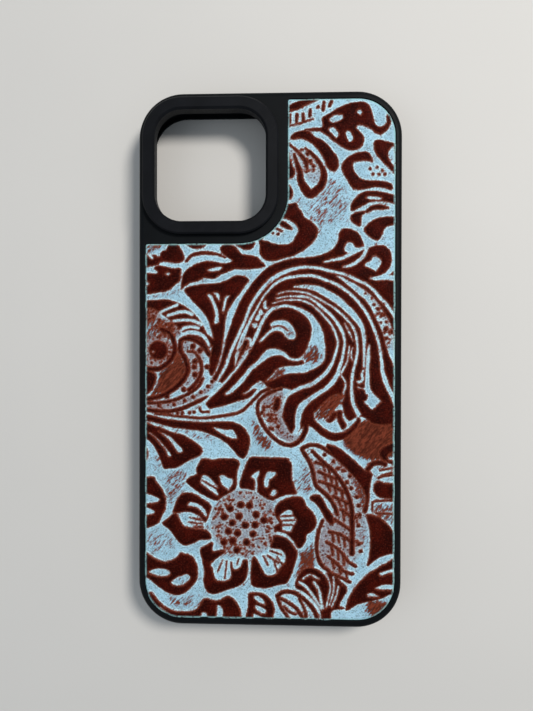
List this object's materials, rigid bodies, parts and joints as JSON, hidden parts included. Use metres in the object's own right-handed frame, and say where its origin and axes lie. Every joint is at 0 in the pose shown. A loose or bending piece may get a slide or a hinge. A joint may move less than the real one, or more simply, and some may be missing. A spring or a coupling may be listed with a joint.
{
  "type": "phone case",
  "caption": "Slim phone case: soft bumper frame round a stiff plate, tooled leather inlay, raised camera ring and sprung side buttons",
  "frame": {"origin": "on the surface the empty case lies on, under the middle of the case, front lip down", "axes": "+Z out of the leather back, +Y towards the phone's top edge, +X towards the side with the volume buttons"},
  "size_m": [0.0758, 0.1526, 0.0129],
  "materials": {
    "soft_frame": "satin black soft plastic",
    "hard_plate": "matte black hard plastic",
    "camera_ring": "satin charcoal hard plastic",
    "adhesive": "thin double-sided sheet",
    "leather": "tooled, antiqued turquoise over brown",
    "soft_button": "satin black soft plastic"
  },
  "bodies": {
    "case": {"bumper_frame": "soft_frame", "back_plate": "hard_plate", "camera_ring": "camera_ring", "adhesive_sheet": "adhesive", "leather_panel": "leather"},
    "volume_up": {"volume_up_button": "soft_button"},
    "volume_down": {"volume_down_button": "soft_button"},
    "power": {"power_button": "soft_button"}
  },
  "joints": [
    {"name": "volume_up_press", "type": "slide", "parent": "case", "child": "volume_up", "axis": [-1, 0, 0], "range_m": [0, 0.0004], "stiffness_N_per_m": 4000},
    {"name": "volume_down_press", "type": "slide", "parent": "case", "child": "volume_down", "axis": [-1, 0, 0], "range_m": [0, 0.0004], "stiffness_N_per_m": 4000},
    {"name": "power_press", "type": "slide", "parent": "case", "child": "power", "axis": [1, 0, 0], "range_m": [0, 0.0004], "stiffness_N_per_m": 4000}
  ]
}
